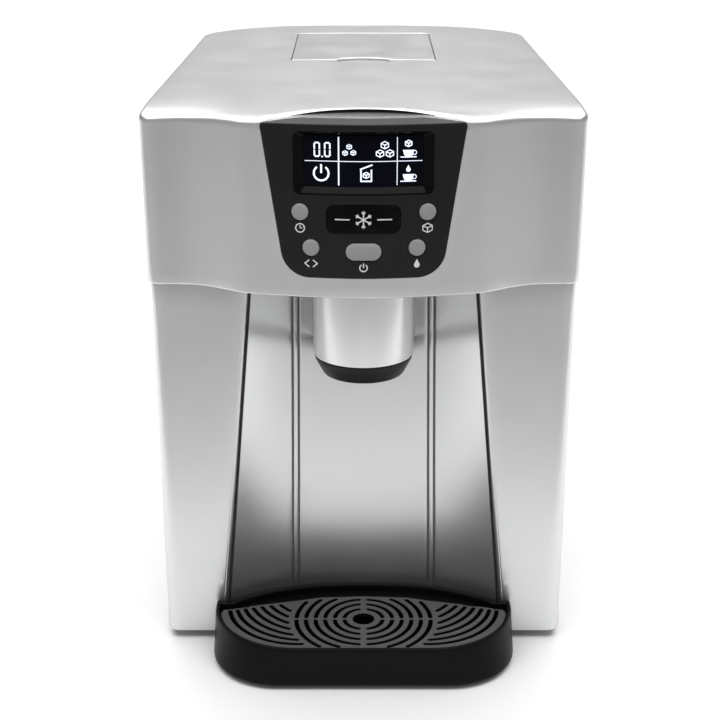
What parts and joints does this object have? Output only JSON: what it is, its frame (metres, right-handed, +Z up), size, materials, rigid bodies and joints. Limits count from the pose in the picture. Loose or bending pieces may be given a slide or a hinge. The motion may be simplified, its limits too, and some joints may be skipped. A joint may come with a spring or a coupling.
{
  "type": "ice maker",
  "caption": "Countertop ice maker with a control panel, a front dispensing bay with a spout, a removable drip tray and a fill door in the top.",
  "frame": {"origin": "centre of the bounding box's footprint, on the surface the feet stand on", "axes": "+Z up, -Y out of the front with the spout and drip tray, +X to the right of someone looking at the front"},
  "size_m": [0.292, 0.426, 0.4033],
  "materials": {
    "silver_shell": "satin silver paint",
    "silver_side": "satin silver paint",
    "silver_top": "satin silver paint",
    "galvanised_steel": "plain sheet steel",
    "rubber": "matte",
    "black_fascia": "semi-gloss black",
    "display_glass": "clear gloss over a dark display",
    "badge_black": "semi-gloss black",
    "black_plastic": "satin",
    "grey_key": "satin grey",
    "circuit_board": "solder mask",
    "tray_black": "satin black",
    "grille_black": "satin dark grey",
    "white_plastic": "satin white",
    "auger_plastic": "satin pale grey",
    "evaporator_metal": "nickel plated",
    "grey_plastic": "satin",
    "tank_plastic": "satin",
    "compressor_black": "semi-gloss black paint",
    "aluminium_fins": "plain",
    "copper_pipe": "drawn copper",
    "clear_tube": "soft clear silicone"
  },
  "bodies": {
    "cabinet": {"base_pan": "galvanised_steel", "foot_front_left": "rubber", "foot_front_right": "rubber", "foot_rear_left": "rubber", "foot_rear_right": "rubber", "lower_front_right": "silver_shell", "lower_front_left": "silver_shell", "side_panel_right": "silver_side", "side_panel_left": "silver_side", "rear_panel": "silver_side", "recess_liner": "silver_shell", "head_shell": "silver_shell", "head_floor": "silver_shell", "top_cover": "silver_top", "control_fascia": "black_fascia", "display_lens": "display_glass", "display_module": "black_plastic", "badge_plate": "badge_black", "control_board": "circuit_board", "spout_shroud": "silver_shell", "spout_collar": "black_plastic", "ice_bin": "white_plastic", "auger_motor": "galvanised_steel", "ice_chute": "white_plastic", "flap_solenoid": "galvanised_steel", "evaporator": "evaporator_metal", "trough_motor": "grey_plastic", "water_tank": "tank_plastic", "water_pump": "white_plastic", "compressor": "compressor_black", "grommet_1": "rubber", "grommet_2": "rubber", "grommet_3": "rubber", "grommet_4": "rubber", "condenser": "aluminium_fins", "fan_shroud": "grey_plastic", "fan_motor": "galvanised_steel", "suction_line": "copper_pipe", "discharge_line": "copper_pipe", "filter_drier": "copper_pipe", "feed_tube": "clear_tube", "draw_tube": "clear_tube", "power_board": "circuit_board", "power_inlet": "black_plastic", "drain_fitting": "grey_plastic"},
    "fill_door": {"fill_door": "silver_top"},
    "drip_tray": {"drip_tray": "tray_black"},
    "drip_grille": {"drip_grille": "grille_black"},
    "button_timer": {"button_timer": "grey_key"},
    "button_ice": {"button_ice": "grey_key"},
    "button_select": {"button_select": "grey_key"},
    "button_water": {"button_water": "grey_key"},
    "button_power": {"button_power": "grey_key"},
    "chute_flap": {"chute_flap": "white_plastic"},
    "water_trough": {"water_trough": "white_plastic"},
    "auger": {"auger": "auger_plastic"},
    "fan_rotor": {"fan_rotor": "black_plastic"},
    "drain_cap": {"drain_cap": "rubber"}
  },
  "joints": [
    {"name": "fill_door_hinge", "type": "hinge", "parent": "cabinet", "child": "fill_door", "pos_m": [0, 0.1647, 0.39986], "axis": [-1, 0, 0], "range_deg": [0, 100]},
    {"name": "drip_tray_slide", "type": "slide", "parent": "cabinet", "child": "drip_tray", "axis": [0, -1, 0], "range_m": [0, 0.1]},
    {"name": "drip_grille_lift", "type": "slide", "parent": "drip_tray", "child": "drip_grille", "axis": [0, 0, 1], "range_m": [0, 0.06]},
    {"name": "button_timer_press", "type": "slide", "parent": "cabinet", "child": "button_timer", "axis": [0, 1, 0], "range_m": [0, 0.0012], "stiffness_N_per_m": 700, "springref_m": -0.0006},
    {"name": "button_ice_press", "type": "slide", "parent": "cabinet", "child": "button_ice", "axis": [0, 1, 0], "range_m": [0, 0.0012], "stiffness_N_per_m": 700, "springref_m": -0.0006},
    {"name": "button_select_press", "type": "slide", "parent": "cabinet", "child": "button_select", "axis": [0, 1, 0], "range_m": [0, 0.0012], "stiffness_N_per_m": 700, "springref_m": -0.0006},
    {"name": "button_water_press", "type": "slide", "parent": "cabinet", "child": "button_water", "axis": [0, 1, 0], "range_m": [0, 0.0012], "stiffness_N_per_m": 700, "springref_m": -0.0006},
    {"name": "button_power_press", "type": "slide", "parent": "cabinet", "child": "button_power", "axis": [0, 1, 0], "range_m": [0, 0.0012], "stiffness_N_per_m": 700, "springref_m": -0.0006},
    {"name": "chute_flap_hinge", "type": "hinge", "parent": "cabinet", "child": "chute_flap", "pos_m": [0, -0.113, 0.2936], "axis": [-1, 0, 0], "range_deg": [0, 75]},
    {"name": "water_trough_tilt", "type": "hinge", "parent": "cabinet", "child": "water_trough", "pos_m": [0, -0.03, 0.345], "axis": [1, 0, 0], "range_deg": [0, 75]},
    {"name": "auger_spin", "type": "hinge", "parent": "cabinet", "child": "auger", "pos_m": [0, -0.034, 0.279], "axis": [0, 1, 0], "continuous": true},
    {"name": "fan_spin", "type": "hinge", "parent": "cabinet", "child": "fan_rotor", "pos_m": [-0.066, 0.16, 0.092], "axis": [0, 1, 0], "continuous": true},
    {"name": "drain_cap_pull", "type": "slide", "parent": "cabinet", "child": "drain_cap", "axis": [0, 1, 0], "range_m": [0, 0.025]}
  ]
}
